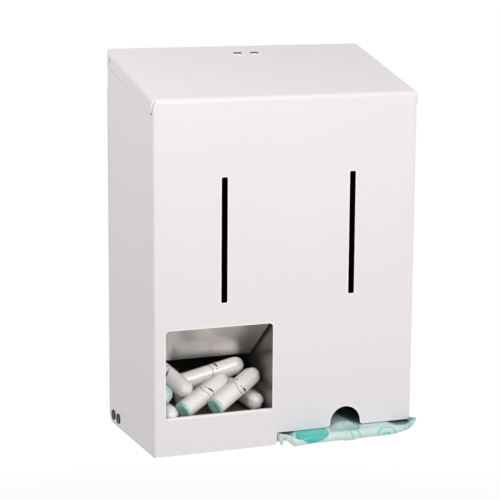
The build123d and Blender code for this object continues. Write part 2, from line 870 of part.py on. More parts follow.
# Fasteners that come in a left and right pair share a node.
pairs = {
    "pivot_pins": [make_pin(pivot_back)],
    "stop_pins": [make_pin(pivot_back - stop_reach)],
    "pin_washers": [make_washer(pivot_back), make_washer(pivot_back - stop_reach)],
    "flange_rivets": [make_flange_rivet()],
}
for name, right_hand in pairs.items():
    left_hand = [mirror(piece, about=Plane.YZ) for piece in right_hand]
    nodes[name] = Compound([solid for piece in right_hand + left_hand for solid in piece.solids()])

os.makedirs("parts", exist_ok=True)
for name, shape in nodes.items():
    export_step(Pos(0, 0, -pattern_height) * shape, f"parts/{name}.step")
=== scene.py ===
# %% [markdown]
# # A wall dispenser for tampons and pads
#
# The maker folds this dispenser from white powder-coated sheet steel. Its shape is already exact in the
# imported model, so this lesson dresses it: it gives each sheet, pin and rivet its finish, and makes the
# wrapped tampons and the wrapped pad as new, softer meshes.
#
# Everything is in metres. The origin is the centre of the four wall holes, X runs to the right, Y into the
# wall and Z up.

import bpy
import numpy as np
from mathutils import Matrix, Vector


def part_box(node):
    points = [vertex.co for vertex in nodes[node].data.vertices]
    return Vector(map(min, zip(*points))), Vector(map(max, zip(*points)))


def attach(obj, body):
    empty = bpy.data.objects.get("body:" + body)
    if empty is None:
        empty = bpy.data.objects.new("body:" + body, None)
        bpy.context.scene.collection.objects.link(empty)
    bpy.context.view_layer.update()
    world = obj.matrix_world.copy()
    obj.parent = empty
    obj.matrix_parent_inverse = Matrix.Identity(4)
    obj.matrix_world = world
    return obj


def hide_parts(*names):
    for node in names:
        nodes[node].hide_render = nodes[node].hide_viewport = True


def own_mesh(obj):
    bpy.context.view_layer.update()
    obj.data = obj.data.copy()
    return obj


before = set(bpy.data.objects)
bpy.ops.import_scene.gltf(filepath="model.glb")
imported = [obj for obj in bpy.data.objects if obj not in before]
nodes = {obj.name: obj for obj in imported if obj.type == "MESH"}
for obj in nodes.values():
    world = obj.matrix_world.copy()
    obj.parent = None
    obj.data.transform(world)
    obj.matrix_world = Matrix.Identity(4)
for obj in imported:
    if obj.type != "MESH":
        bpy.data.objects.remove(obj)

scene = bpy.context.scene
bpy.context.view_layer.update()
MM = 0.001

# %% [markdown]
# ## Where the picture is taken from
#
# A product photographer stands a little to the left and above, with a long lens, so that upright edges stay
# almost parallel. The camera's direction is given by two angles and a small roll, its distance by the lens.
# From these come three axes at right angles, which are the columns of the camera's rotation.

# %% Camera
AZIMUTH = np.radians(-21.807)
ELEVATION = np.radians(10.484)
ROLL = np.radians(0.379)
LENS = 130.1
FILM_WIDTH = 36
FARTHEST = 60
CAMERA_PLACE = (-0.5308, -1.3616, 0.2442)

camera = bpy.data.objects.new("camera", bpy.data.cameras.new("camera"))
camera.data.lens = LENS
camera.data.sensor_width = FILM_WIDTH
camera.data.clip_end = FARTHEST
scene.collection.objects.link(camera)
scene.camera = camera

back = np.array(
    [np.sin(AZIMUTH) * np.cos(ELEVATION), -np.cos(AZIMUTH) * np.cos(ELEVATION), np.sin(ELEVATION)]
)
level = np.array([np.cos(AZIMUTH), np.sin(AZIMUTH), 0])
upright = np.cross(back, level)
right = np.cos(ROLL) * level + np.sin(ROLL) * upright
up = np.cos(ROLL) * upright - np.sin(ROLL) * level
turn = Matrix(np.column_stack([right, up, back]).tolist()).to_4x4()
camera.matrix_world = Matrix.Translation(CAMERA_PLACE) @ turn
print("camera at", CAMERA_PLACE)

# %% [markdown]
# ## Shader maths in plain Python
#
# A pattern is easier to read as a sum than as a web of nodes. The class below wraps one output socket, and
# each operator on it adds a Math node. A second class holds one tree of nodes: its method `node` makes any
# other node from its type, its settings and what goes into its sockets.

# %% A number that changes over a surface
class Amount:
    """One output socket. Arithmetic on it adds Math nodes to its tree."""

    def __init__(self, tree, socket):
        self.tree = tree
        self.socket = socket

    def math(self, operation, *parts):
        """A Math node on the given parts, which are numbers or Amounts."""
        node = self.tree.nodes.new("ShaderNodeMath")
        node.operation = operation
        for slot, part in zip(node.inputs, parts):
            if isinstance(part, Amount):
                self.tree.links.new(part.socket, slot)
            else:
                slot.default_value = part
        return Amount(self.tree, node.outputs[0])

    def __add__(self, other):
        return self.math("ADD", self, other)

    def __radd__(self, other):
        return self.math("ADD", other, self)

    def __sub__(self, other):
        return self.math("SUBTRACT", self, other)

    def __rsub__(self, other):
        return self.math("SUBTRACT", other, self)

    def __mul__(self, other):
        return self.math("MULTIPLY", self, other)

    def __rmul__(self, other):
        return self.math("MULTIPLY", other, self)

    def __truediv__(self, other):
        return self.math("DIVIDE", self, other)

    def __pow__(self, other):
        return self.math("POWER", self, other)

    def __abs__(self):
        return self.math("ABSOLUTE", self)

    def __mod__(self, other):
        return self.math("FLOORED_MODULO", self, other)

    def over(self, edge, blur):
        """0 below edge and 1 above it, with a soft step of width blur."""
        return self.math("MINIMUM", self.math("MAXIMUM", (self - edge) / blur + 0.5, 0), 1)

    def under(self, edge, blur):
        """1 below edge and 0 above it."""
        return 1 - self.over(edge, blur)

    def larger(self, other):
        """The larger of the two, which also joins two masks."""
        return self.math("MAXIMUM", self, other)

    def smaller(self, other):
        """The smaller of the two."""
        return self.math("MINIMUM", self, other)

    def sine(self):
        """The sine of an angle in radians."""
        return self.math("SINE", self)


def distance(a, b):
    """The length of the vector (a, b), for rings and dots."""
    return (a * a + b * b) ** 0.5


def outside(across, along, half_across, half_along, corner):
    """How far a point lies outside a rectangle with round corners, from its offsets to the middle."""
    past_side = (abs(across) - (half_across - corner)).larger(0)
    past_end = (abs(along) - (half_along - corner)).larger(0)
    return distance(past_side, past_end) - corner


print("operators ready")


# %% One tree of nodes
class Web:
    """A tree of nodes, for a material or for the world."""

    def __init__(self, tree):
        self.tree = tree

    def node(self, kind, settings=None, out=0, **sockets):
        """A node of that kind. Its settings are set first, then numbers, links and colours go in."""
        node = self.tree.nodes.new("ShaderNode" + kind)
        for name, value in (settings or {}).items():
            setattr(node, name, value)
        for name, value in sockets.items():
            slot = node.inputs[int(name[1:]) if name[1:].isdigit() else name.replace("_", " ")]
            if isinstance(value, Amount):
                self.tree.links.new(value.socket, slot)
            else:
                slot.default_value = value
        return Amount(self.tree, node.outputs[out]) if node.outputs else node

    def looked_at(self):
        """1 for rays from the camera, off a gloss and through glass, and 0 for those that bring light."""
        seen, mirrored, through = [
            self.node("LightPath", out=f"Is {kind} Ray") for kind in ("Camera", "Glossy", "Transmission")
        ]
        return seen.larger(mirrored).larger(through)


print("trees of nodes can be built")


# %% One finish
class Finish(Web):
    """A Principled material for one of this dispenser's finishes."""

    def __init__(self, name, **constants):
        self.material = bpy.data.materials.new(name)
        self.material.use_nodes = True
        super().__init__(self.material.node_tree)
        self.shader = self.tree.nodes["Principled BSDF"]
        for socket, value in constants.items():
            self.shader.inputs[socket.replace("_", " ")].default_value = value

    def spot(self):
        """The point on the piece, as a vector in metres."""
        return self.node("TexCoord", out="Object")

    def place(self):
        """The same point as a vector, and its x, y and z."""
        point = self.spot()
        return point, *[self.node("SeparateXYZ", out=axis, Vector=point) for axis in "XYZ"]

    def chart(self):
        """The piece's own UV map: both numbers are metres along the wrapper."""
        point = self.node("TexCoord", out="UV")
        return point, *[self.node("SeparateXYZ", out=axis, Vector=point) for axis in "XY"]

    def noise(self, point, size, detail=2.0, roughness=0.5, stretch=(1, 1, 1)):
        """Noise around 0.5 whose blobs are about size metres, longer along an axis with a small stretch."""
        scaled = self.node("Mapping", Vector=point, Scale=stretch)
        return self.node("TexNoise", Vector=scaled, Scale=1 / size, Detail=detail, Roughness=roughness)

    def blend(self, amount, first, second):
        """A colour between first and second."""
        return self.node("Mix", {"data_type": "RGBA"}, 2, i0=amount, i6=first, i7=second)

    def bump(self, height, depth):
        """Turns heights from 0 to 1 into shading as if they were depth metres high."""
        return self.node("Bump", Strength=1.0, Distance=depth, Height=height)

    def feed(self, **links):
        """Links varying amounts to the shader's sockets."""
        for socket, value in links.items():
            self.tree.links.new(value.socket, self.shader.inputs[socket.replace("_", " ")])
        return self

    def on(self, *names):
        """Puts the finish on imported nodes, by name."""
        for name in names:
            for slot in nodes[name].material_slots:
                slot.material = self.material
            if not nodes[name].material_slots:
                nodes[name].data.materials.append(self.material)
        return self


print("finishes can be mixed")

# %% [markdown]
# ## Light and background
#
# The light of a white studio comes from all round, so the world gives most of it. A soft lamp in front, a
# little above, makes the front face the brightest and fades it towards its foot. A weak one close by on the
# left does the same for the side. To the camera the world is plain white, and so it is in the metal's
# reflections.

# %% Lamps
scene.view_settings.view_transform = "Standard"
FRONT_LAMP = {"place": (0.06, -0.9, 0.35), "size": 0.45, "power": 3.75, "colour": (1.0, 0.985, 0.975)}
SIDE_LAMP = {"place": (-0.42, -0.12, 0.36), "size": 0.35, "power": 0.58, "colour": (0.99, 0.93, 1.0)}
HOOD_MIDDLE = Vector((0, -0.05, 0))


def soft_lamp(name, place, size, power, colour):
    """A square area lamp at place, size metres wide and of power watts, which looks at the hood."""
    data = bpy.data.lights.new(name, "AREA")
    data.size = size
    data.energy = power
    data.color = colour
    lamp = bpy.data.objects.new(name, data)
    scene.collection.objects.link(lamp)
    lamp.location = place
    lamp.rotation_euler = (HOOD_MIDDLE - Vector(place)).to_track_quat("-Z", "Y").to_euler()


soft_lamp("front lamp", **FRONT_LAMP)
soft_lamp("side lamp", **SIDE_LAMP)
print("two lamps")

# %% World
WORLD_LEVEL = 0.53
WHITE = (1, 1, 1, 1)
scene.world = bpy.data.worlds.new("studio")
scene.world.use_nodes = True
scene.world.node_tree.nodes.clear()
studio = Web(scene.world.node_tree)
room = studio.node("Background", Color=WHITE, Strength=WORLD_LEVEL)
white = studio.node("Background", Color=WHITE, Strength=1.0)
sky = studio.node("MixShader", i0=studio.looked_at(), i1=room, i2=white)
studio.node("OutputWorld", Surface=sky)
print("world level", WORLD_LEVEL)

# %% [markdown]
# ## The floor
#
# The dispenser hangs on a wall, so the floor lies well below it and is out of the picture, but other views
# see it. It is one large sheet, mostly plain white to the camera and to reflections, and partly a matt white
# that takes the object's shadow.

# %% Floor
FLOOR_HEIGHT = -0.62
FLOOR_HALF = 15.0
SHADOW_REACH = 0.9
GLOW_NEAR = 0.6

corners = FLOOR_HALF * np.array([[-1, -1], [1, -1], [1, 1], [-1, 1]])
floor_mesh = bpy.data.meshes.new("floor")
floor_mesh.from_pydata([(x, y, FLOOR_HEIGHT) for x, y in corners], [], [(0, 1, 2, 3)])
floor = bpy.data.objects.new("floor", floor_mesh)
scene.collection.objects.link(floor)

paper = Finish("floor white", Base_Color=(0.9, 0.9, 0.9, 1), Roughness=0.9)
_, x, y, _ = paper.place()
away = distance(x, y).over(SHADOW_REACH, SHADOW_REACH)
share = paper.looked_at() * (GLOW_NEAR + (1 - GLOW_NEAR) * away)
glow = paper.node("Emission", Color=WHITE, Strength=1.0)
matt = Amount(paper.tree, paper.shader.outputs[0])
mixed = paper.node("MixShader", i0=share, i1=matt, i2=glow)
paper.tree.links.new(mixed.socket, paper.tree.nodes["Material Output"].inputs["Surface"])
floor.data.materials.append(paper.material)
print("floor", -FLOOR_HEIGHT, "m below the wall holes")

# %% [markdown]
# ## The hood's powder coat
#
# Powder coat melts into a skin with a faint orange peel: a soft gloss over low bumps about a millimetre
# wide. The sheet's inner faces are drawn near black as painted shade, which is why the narrow windows read
# as black. The cut walls of the windows and key slots are as dark, as painted shade in the narrow cuts. A
# mask on Object coordinates tells inner faces from outer ones. Near a bend it measures the distance from
# the bend's axis, so that the painted dark inside never comes through the round corner.
#
# A narrow white band of painted highlight runs round each opening, each pin's head and the corner relief,
# along the brow and down the front's side bends. The sides also have thin dark lines of painted shade: under
# the lower edge of the top's flange, in the relief's far wall, and along the foot and the rear edge.

# %% Sizes of the hood
# The overall box comes from the imported hood. Sizes that a box can't tell repeat those of the part's source.
SHEET = 1.0 * MM
BEND = 3.5 * MM
hood_low, hood_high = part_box("hood")
SIDE = hood_high.x - SHEET
FRONT = hood_low.y
FOOT = hood_low.z
TOP_RISE = 30.0 * MM
SLOPE = -TOP_RISE / FRONT
PITCH = np.arctan(SLOPE)
WALL_GAP = 0.5 * MM
TOP_AT_WALL = hood_high.z + SLOPE * WALL_GAP
FLANGE_DROP = 11.5 * MM
BAY = {"x": -55.4 * MM, "z": FOOT + 63.4 * MM, "half_x": 43.6 * MM, "half_z": 33.9 * MM}
BAY_CORNER = 2.4 * MM
WINDOWS = {"x": 0.7 * MM, "z": FOOT + 164 * MM, "half_x": 2.5 * MM, "half_z": 48 * MM}
WINDOW_OFFSET = 52.7 * MM
WINDOW_CORNER = 1.0 * MM
KEYS = {"x": 2.4 * MM, "y": -18.0 * MM, "half_x": 3.45 * MM, "half_y": 2.13 * MM}
KEY_OFFSET = 7.15 * MM
KEY_CORNER = 0.6 * MM
NOTCH = {"x": 50.2 * MM, "z": FOOT + 12.5 * MM, "radius": 13 * MM}
SLOT_RISE = 9.8 * MM
HEADS = {"y": -17.75 * MM, "half_pitch": 6.25 * MM, "z": FOOT + 7.2 * MM}
HEAD_HIGHLIGHT_REACH = 5.7 * MM
RELIEF = {"y": -112.7 * MM, "z": FOOT + 271.3 * MM, "run": 11.3 * MM}


def middle(name):
    """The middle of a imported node's box."""
    return (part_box(name)[0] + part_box(name)[1]) / 2


print("hood sides at", round(SIDE / MM, 2), "mm, front at", round(FRONT / MM, 2), "mm")

# %% Where the coat is inside, and how far it lies from each opening
EDGE = 0.25 * MM
SKIN = 1.2 * SHEET
KEY_WIDENING = 0.35
coat = Finish("powder coat", IOR=1.46, Coat_IOR=1.45, Coat_Roughness=0.3)
point, x, y, z = coat.place()
below_top = (TOP_AT_WALL + SLOPE * y - z) * np.cos(PITCH)
past_x = (abs(x) - (SIDE - BEND)).larger(0)
past_y = (FRONT + BEND - y).larger(0)
past_z = (BEND - below_top).larger(0)
from_bend = distance(distance(past_x, past_y), past_z)
lip_line = abs(z - (BAY["z"] - BAY["half_z"] - SHEET / 2)).under(0.7 * SHEET, EDGE / 2)
on_lip = lip_line * abs(x - BAY["x"]).under(BAY["half_x"], EDGE) * y.under(FRONT + 4 * SHEET, EDGE)
# Painted shade: faces inside the sheet are drawn near black further down.
inside = from_bend.under(BEND - SHEET + EDGE, EDGE / 2) * (1 - on_lip)

on_front = y.under(FRONT + SKIN, EDGE)
on_top = below_top.under(SKIN, EDGE)
on_side = abs(x).over(SIDE - SKIN, EDGE)
from_bay = outside(x - BAY["x"], z - BAY["z"], BAY["half_x"], BAY["half_z"], BAY_CORNER)
from_window = outside(
    abs(x - WINDOWS["x"]) - WINDOW_OFFSET,
    z - WINDOWS["z"],
    WINDOWS["half_x"],
    WINDOWS["half_z"],
    WINDOW_CORNER,
)
from_notch = distance(x - NOTCH["x"], (z - NOTCH["z"]).larger(0)) - NOTCH["radius"]
# Distances from a key slot shrink along Y, so that its painted highlight is wider in front of it and behind
# it.
from_key = outside(
    abs(x - KEYS["x"]) - KEY_OFFSET,
    KEY_WIDENING * (y - KEYS["y"]),
    KEYS["half_x"],
    KEY_WIDENING * KEYS["half_y"],
    KEY_CORNER,
)
from_head = distance(z - HEADS["z"], abs(y - HEADS["y"]) - HEADS["half_pitch"])
relief_run = (y - RELIEF["y"]) * np.sin(PITCH) - (z - RELIEF["z"]) * np.cos(PITCH)
relief_off = (y - RELIEF["y"]) * np.cos(PITCH) + (z - RELIEF["z"]) * np.sin(PITCH)
from_relief = distance(relief_off, (relief_run - RELIEF["run"]).larger(0))
print("distances on the hood")

# %% Painted highlights on the coat
HIGHLIGHT_WIDTH = 0.9 * MM
KEY_HIGHLIGHT_WIDTH = 1.1 * MM
RELIEF_HIGHLIGHT_WIDTH = 1.5 * MM
SOFT = 0.5 * MM
BROW_BACK, BROW_DOWN = 3.2 * MM, 1.3 * MM
CORNER_START = 0.8 * MM
# Painted highlights: white bands round the openings, the key slots, the pins' heads and the relief.
notch_highlight = from_notch.under(HIGHLIGHT_WIDTH, SOFT) * z.over(FOOT + SLOT_RISE, SOFT)
front_highlights = from_bay.under(HIGHLIGHT_WIDTH, SOFT).larger(from_window.under(HIGHLIGHT_WIDTH, SOFT)).larger(notch_highlight)
key_highlight = from_key.under(KEY_HIGHLIGHT_WIDTH, SOFT) * (0.55 + 0.45 * y.under(KEYS["y"], SOFT))
head_highlight = from_head.under(HEAD_HIGHLIGHT_REACH, SOFT)
relief_highlight = from_relief.under(RELIEF_HIGHLIGHT_WIDTH, SOFT)
# Painted highlights on the brow's bend and on the front's side bends.
brow_highlight = 0.4 * y.under(FRONT + BROW_BACK, 1.2 * MM) * below_top.under(BROW_DOWN, 1.0 * MM)
corner = past_x.over(CORNER_START, CORNER_START) * past_y.over(CORNER_START, CORNER_START)
side_highlights = head_highlight.larger(relief_highlight)
edge_highlights = (front_highlights * on_front).larger(key_highlight * on_top).larger(side_highlights * on_side)
painted_highlight = edge_highlights.larger(brow_highlight).larger(0.3 * corner)
print("white beads along edges and folds")

# %% Painted shade lines on the coat
RIM = 0.2 * MM
SEAM_DROP, SEAM_HALF = 0.95 * MM, 0.5 * MM
SEAM_STARTS, SEAM_GROWS = 60 * MM, 120 * MM
SLIT_HALF, EYE_RADIUS = 0.4 * MM, 1.0 * MM
FOOT_SHADE, REAR_SHADE = 1.1 * MM, 3.0 * MM

hang = z - SLOPE * y - (TOP_AT_WALL - FLANGE_DROP / np.cos(PITCH))
# Painted shade under the lower edge of the top's flange, stronger towards the rear.
under_flange = abs(hang + SEAM_DROP).under(SEAM_HALF, EDGE) * abs(x).under(SIDE + 0.3 * MM, EDGE) * on_side
flange_shade = 0.8 * under_flange * y.over(FRONT + SEAM_STARTS, SEAM_GROWS)
# Painted shade in the relief's far wall and its round eye.
relief_eye = distance(relief_off - SLIT_HALF, relief_run - RELIEF["run"]).under(EYE_RADIUS, EDGE)
relief_wall = 0.35 * from_relief.under(SLIT_HALF, EDGE / 2) * relief_run.over(5 * MM, 4 * MM)
# Painted shade on the walls of the key slots and windows, and on the rim behind each key slot.
key_rim = from_key.under(2 * RIM, RIM) * y.over(KEYS["y"] + 1.5 * MM, SOFT)
key_wall = from_key.under(RIM, RIM) * below_top.over(0.15 * MM, RIM)
window_wall = from_window.under(RIM, RIM) * y.over(FRONT + RIM, RIM)
# Painted shade along the foot, at the foot of the front corner and near the rear edge.
foot_edge = 0.3 * z.under(FOOT + FOOT_SHADE, 0.8 * MM)
foot_dot = 0.6 * distance(y - (FRONT + BEND), z - FOOT).under(FOOT_SHADE, 0.4 * MM)
rear_edge = 0.2 * y.over(-REAR_SHADE, 2.0 * MM) * from_head.over(HEAD_HIGHLIGHT_REACH, SOFT)
side_shade = relief_wall.larger(0.6 * relief_eye).larger(foot_edge).larger(foot_dot).larger(rear_edge)
cut_wall_shade = key_wall.larger(key_rim * on_top).larger(window_wall)
painted_shade_line = flange_shade.larger(side_shade * on_side).larger(cut_wall_shade)
print("seam, relief, foot, rear edge and cut walls")

# %% Powder coat
PAINTED_SHADE_BLACK = (0.012, 0.012, 0.012, 1)
HIGHLIGHT_WHITE = (0.985, 0.965, 0.975, 1)
SHADE_GREY = (0.13, 0.12, 0.125, 1)
PEEL_DEPTH = 0.03 * MM

cloud = coat.noise(point, 60 * MM, 3.0)
peel = coat.noise(point, 1.3 * MM, 2.0)
dust = coat.noise(point, 0.25 * MM, 1.0)
flat_white = coat.blend(cloud, (0.836, 0.797, 0.817, 1), (0.852, 0.816, 0.834, 1))
# Painted highlights whiten the coat.
highlighted = coat.blend(painted_highlight, flat_white, HIGHLIGHT_WHITE)
# Painted shade lines darken the coat.
shade_lined = coat.blend(painted_shade_line, highlighted, SHADE_GREY)
coat.feed(
    Base_Color=coat.blend(inside, shade_lined, PAINTED_SHADE_BLACK),
    Roughness=0.38 + 0.06 * peel + 0.35 * inside,
    Coat_Weight=0.3 * (1 - inside),
    Normal=coat.bump(peel + 0.15 * dust, PEEL_DEPTH),
)
coat.on("hood")
print("powder coat with a primed inside")

# %% [markdown]
# ## Rivets and pins
#
# The two small rivets in the top's flanges were set before painting, so they are white like the hood. Their
# paint is drawn whiter than the hood's as a painted highlight, and the hole left by the rivet's broken stem
# is a near-black dot of painted shade. The four heads low on the sides were fitted after painting. They are
# black, and worn to grey-brown steel in the dimple. A ring is a distance from the axis to the point, on the
# two coordinates across it.

# %% Flange rivets
STEM_HOLE = 0.8 * MM
RIVET_HEAD = 2.85 * MM
painted = Finish("painted rivet", Roughness=0.3, IOR=1.46, Coat_Weight=0.4)
point, _, y, z = painted.place()
rivet = middle("flange_rivets")
reach = distance(y - rivet.y, z - rivet.z)
# Painted shade: the stem hole is a near-black dot.
stem_shade = reach.under(STEM_HOLE, EDGE)
head_rim = reach.over(RIVET_HEAD, 0.2 * MM)
# Painted highlight: the rivet's paint is drawn whiter than the hood's coat.
skin = painted.blend(painted.noise(point, 8 * MM), (0.93, 0.9, 0.92, 1), (0.98, 0.96, 0.97, 1))
rimmed = painted.blend(0.5 * head_rim, skin, (0.3, 0.28, 0.3, 1))
painted.feed(
    Base_Color=painted.blend(stem_shade, rimmed, (0.03, 0.03, 0.03, 1)),
    Normal=painted.bump(painted.noise(point, 1.2 * MM), PEEL_DEPTH),
)
painted.on("flange_rivets")
print("painted rivets")


# %% Pins with black heads
DIMPLE = 2.45 * MM
TURNING_PITCH = 0.35 * MM


def head_finish(pins):
    """Black oxide on the head's rim, and bare grey-brown steel with turning marks in its dimple.

    The marks are the sine of 2 pi times the distance from the axis over their pitch.
    """
    steel = Finish(pins)
    point, _, y, z = steel.place()
    axis = middle(pins)
    reach = distance(y - axis.y, z - axis.z)
    dimple = reach.under(DIMPLE, 0.5 * MM)
    speck = steel.noise(point, 0.8 * MM, 4.0, 0.65)
    rim = steel.blend(speck, (0.006, 0.006, 0.007, 1), (0.03, 0.028, 0.03, 1))
    bare = steel.blend(speck, (0.1, 0.09, 0.09, 1), (0.2, 0.18, 0.175, 1))
    turned = (reach * (2 * np.pi / TURNING_PITCH)).sine() * 0.5 + 0.5
    steel.feed(
        Base_Color=steel.blend(dimple, rim, bare),
        Metallic=0.35 + 0.5 * dimple,
        Roughness=0.42 + 0.25 * speck,
        Normal=steel.bump(turned * dimple + speck, 0.02 * MM),
    )
    steel.on(pins)
    return axis


for pins in ("pivot_pins", "stop_pins"):
    print(pins, "at", round(head_finish(pins).y / MM, 1), "mm from the wall")

# %% [markdown]
# ## Bright steel bins
#
# The tray, the baffle and the divider are thin cold-rolled sheet, bare and bright. Rolling leaves fine lines
# along the sheet, which blur a reflection more across them than along them. Stretched noise in the
# roughness and in the bump gives that. Each sheet gets its own shade of the same steel as painted light and
# shade: the baffle, which hangs over the tampons and mirrors them, is drawn the lightest, and the divider the
# darkest. The baffle's right edge and the tray's rear wall are drawn near black as painted shade, like the
# hood's inside.

# %% Rolled steel
ALONG_X = (0.04, 1, 1)
ALONG_Z = (1, 1, 0.04)
BAFFLE_RIM = 2.4 * MM
TRAY_REAR = 8 * MM


def rolled_steel(name, stretch, light, dark, rough, black_past=("Y", 1.0)):
    """Bare rolled sheet: fine lines along the axis whose stretch is small, and a cloudy oil film.

    Past a place on an axis, both given by black_past, the sheet is drawn near black as painted shade. One
    metre leaves it bare.
    """
    steel = Finish(name)
    point, x, y, z = steel.place()
    axis, edge = black_past
    # Painted shade: past the edge the sheet is drawn near black.
    painted_shade = {"X": x, "Y": y, "Z": z}[axis].over(edge, 0.6 * MM)
    lines = steel.noise(point, 0.6 * MM, 3.0, 0.6, stretch)
    film = steel.noise(point, 22 * MM, 3.0, 0.55)
    scuff = steel.noise(point, 4 * MM, 4.0, 0.7, stretch)
    bare = steel.blend(0.85 * film + 0.15 * lines, dark, light)
    steel.feed(
        Base_Color=steel.blend(painted_shade, bare, PAINTED_SHADE_BLACK),
        Metallic=0.85 * (1 - painted_shade),
        Roughness=rough + 0.05 * lines + 0.15 * film * scuff + 0.3 * painted_shade,
        Normal=steel.bump(lines, 0.003 * MM),
    )
    return steel


baffle_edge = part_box("hopper_baffle")[1].x - BAFFLE_RIM
tray_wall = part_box("tampon_tray")[1].y - TRAY_REAR
# Painted light: the baffle's steel is drawn lighter than the other sheets'.
rolled_steel(
    "bright baffle", ALONG_X, (0.86, 0.83, 0.8, 1), (0.72, 0.69, 0.66, 1), 0.27, ("X", baffle_edge)
).on("hopper_baffle")
rolled_steel(
    "tray steel", ALONG_X, (0.5, 0.45, 0.39, 1), (0.4, 0.35, 0.3, 1), 0.28, ("Y", tray_wall)
).on("tampon_tray")
# Painted shade: the divider's steel is drawn the darkest.
rolled_steel("divider steel", ALONG_Z, (0.33, 0.31, 0.29, 1), (0.25, 0.23, 0.21, 1), 0.26).on("divider")
rolled_steel("pad bin steel", ALONG_Z, (0.45, 0.43, 0.42, 1), (0.33, 0.31, 0.3, 1), 0.2).on(
    "pad_shelf", "magazine_back"
)
print("bins in rolled steel")

# %% [markdown]
# ## The wall plate and the latch
#
# The plate and the latch's bracket are zinc-plated. Zinc grows in flat crystals, so a Voronoi pattern
# changes each crystal's shade a little. The plate's inner face is drawn near black as painted shade, like
# the hood's, so that nothing shines through the throat behind the baffle. The latch itself, which a key
# rubs, is drawn as near black steel as painted shade under the key slots, the spring is heat-blued, and the
# washers are plain nylon.

# %% Zinc plate
PAN_FACE = -0.9 * MM


def zinc(name, crystal, shade_blackened=False):
    """Zinc plate with crystals about that many metres across, and near black on its inner face, as painted
    shade, if asked.
    """
    plate = Finish(name)
    point, _, y, _ = plate.place()
    spangle = plate.node("TexVoronoi", {"feature": "F1"}, "Color", Vector=point, Scale=1 / crystal)
    shade = plate.node("SeparateColor", Color=spangle)
    fog = plate.noise(point, 30 * MM, 3.0)
    # Painted shade: the inner face is drawn near black.
    black = y.under(PAN_FACE, EDGE) * float(shade_blackened)
    bright = plate.blend(0.5 * shade + 0.5 * fog, (0.34, 0.34, 0.35, 1), (0.5, 0.5, 0.51, 1))
    plate.feed(
        Base_Color=plate.blend(black, bright, (0.014, 0.014, 0.014, 1)),
        Metallic=1 - black,
        Roughness=0.32 + 0.12 * shade + 0.1 * fog + 0.3 * black,
        Normal=plate.bump(plate.noise(point, 0.7 * MM), 0.01 * MM),
    )
    return plate


zinc("zinc plate", 5 * MM, shade_blackened=True).on("back_plate")
zinc("zinc latch parts", 2.5 * MM).on("latch_bracket", "catch_strip")
print("zinc on the plate and the latch's bracket")

# %% Blued spring, dark steel and nylon washers
blued = Finish("blued spring", Metallic=1.0)
heat = blued.noise(blued.spot(), 9 * MM)
blued.feed(
    Base_Color=blued.blend(heat, (0.1, 0.12, 0.2, 1), (0.22, 0.2, 0.22, 1)),
    Roughness=0.25 + 0.15 * heat,
)
blued.on("latch_spring")


def dark_steel(name, dark, light):
    """Steel under a dark oiled skin, with fine grit."""
    steel = Finish(name, Metallic=1.0)
    grit = steel.noise(steel.spot(), 0.9 * MM, 3.0)
    steel.feed(Base_Color=steel.blend(grit, dark, light), Roughness=0.35 + 0.2 * grit)
    return steel


dark_steel("oiled pin", (0.1, 0.1, 0.1, 1), (0.2, 0.19, 0.18, 1)).on("latch_pin", "latch_rivets")
# Painted shade: the latch seen through the key slots is drawn near black.
dark_steel("blackened latch", (0.025, 0.025, 0.025, 1), (0.06, 0.055, 0.05, 1)).on("latch_plate")

nylon = Finish("nylon washer", Subsurface_Weight=0.1)
grain = nylon.noise(nylon.spot(), 1.5 * MM)
nylon.feed(
    Base_Color=nylon.blend(grain, (0.72, 0.72, 0.69, 1), (0.8, 0.8, 0.77, 1)),
    Roughness=0.5 + 0.1 * grain,
)
nylon.on("pin_washers")
print("spring, pins, latch and washers")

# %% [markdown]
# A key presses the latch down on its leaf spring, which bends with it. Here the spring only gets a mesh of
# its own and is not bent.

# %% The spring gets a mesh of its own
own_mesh(nodes["latch_spring"])

# %% [markdown]
# ## A surface from a grid of numbers
#
# A wrapped tampon is a profile turned round an axis, and a wrapped pad is a loop carried along a line. Both
# are grids: one number runs round the loop, the other along it. numpy works out all the points at once, and
# the faces join each point to its neighbours. Where the loops shrink to a point, a fan of triangles closes
# the end.

